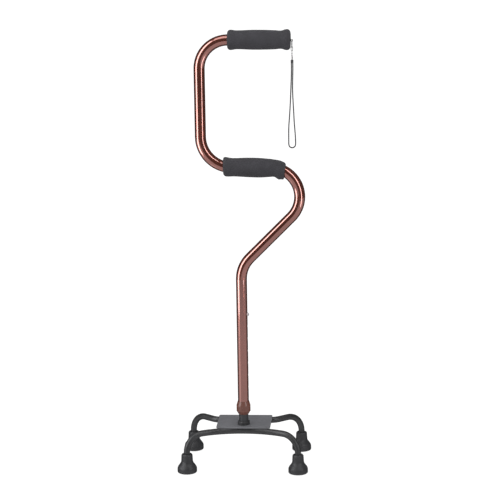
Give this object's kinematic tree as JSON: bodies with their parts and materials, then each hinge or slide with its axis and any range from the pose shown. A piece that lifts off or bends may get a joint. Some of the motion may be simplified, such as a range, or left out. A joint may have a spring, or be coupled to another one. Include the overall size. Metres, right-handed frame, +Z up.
{
  "type": "quad walking cane",
  "caption": "Free-standing walking aid: bent tube with an upper and a lower foam grip, telescoping post with snap button and lock collar, splayed rubber-footed base, wrist strap.",
  "frame": {"origin": "on the floor, at the centre of the rectangle of the feet", "axes": "+Z up; +X along the hand grips, towards the wrist strap; the post stands off centre towards -Y"},
  "size_m": [0.2646, 0.1956, 0.8925],
  "materials": {
    "plate_paint": "grey powder coat, satin",
    "leg_paint": "black enamel, satin",
    "post_paint": "black enamel, satin",
    "foot_rubber": "moulded grey-black rubber",
    "washer_steel": "plain steel",
    "spring_steel": "spring steel",
    "button_steel": "polished steel",
    "bronze_tube": "bronze anodised, glossy",
    "collet_plastic": "moulded black plastic",
    "collar_plastic": "moulded brown plastic",
    "grip_foam": "closed-cell foam, charcoal",
    "plug_plastic": "moulded black plastic",
    "strap_wire": "plated wire",
    "barrel_metal": "plated turned metal",
    "ferrule_plastic": "moulded black plastic",
    "cord_braid": "black braided cord"
  },
  "bodies": {
    "base": {"base_plate": "plate_paint", "front_leg_tube": "leg_paint", "rear_leg_tube": "leg_paint", "weld_beads": "leg_paint", "post_ring": "leg_paint", "lower_tube": "post_paint", "front_left_foot": "foot_rubber", "front_right_foot": "foot_rubber", "rear_left_foot": "foot_rubber", "rear_right_foot": "foot_rubber", "foot_washers": "washer_steel", "snap_spring": "spring_steel"},
    "button": {"snap_button": "button_steel"},
    "upper": {"upper_tube": "bronze_tube", "collet": "collet_plastic", "top_grip": "grip_foam", "lower_grip": "grip_foam", "end_plug": "plug_plastic", "strap_eye": "strap_wire"},
    "collar": {"lock_collar": "collar_plastic"},
    "ring": {"strap_ring": "strap_wire"},
    "link": {"swivel_link": "strap_wire"},
    "strap": {"swivel_barrel": "barrel_metal", "cord_ferrule": "ferrule_plastic", "wrist_cord": "cord_braid"}
  },
  "joints": [
    {"name": "height_slide", "type": "slide", "parent": "base", "child": "upper", "axis": [0, 0, 1], "range_m": [0, 0.1524]},
    {"name": "button_press", "type": "slide", "parent": "base", "child": "button", "axis": [-1, 0, 0], "range_m": [0, 0.005], "stiffness_N_per_m": 1500, "springref_m": -0.002, "deforming": ["snap_spring"]},
    {"name": "collar_turn", "type": "hinge", "parent": "upper", "child": "collar", "pos_m": [0, -0.026, 0.12], "axis": [0, 0, 1], "range_deg": [0, 270]},
    {"name": "ring_swing", "type": "hinge", "parent": "upper", "child": "ring", "pos_m": [0.1068, -0.026, 0.8709], "axis": [0, -1, 0], "range_deg": [0, 110], "deforming": ["wrist_cord"]},
    {"name": "strap_sway", "type": "hinge", "parent": "ring", "child": "link", "pos_m": [0.1068, -0.026, 0.8643], "axis": [1, 0, 0], "range_deg": [-100, 100], "deforming": ["wrist_cord"]},
    {"name": "swivel_spin", "type": "hinge", "parent": "link", "child": "strap", "pos_m": [0.1068, -0.026, 0.84], "axis": [0, 0, 1], "continuous": true, "deforming": ["wrist_cord"]}
  ]
}
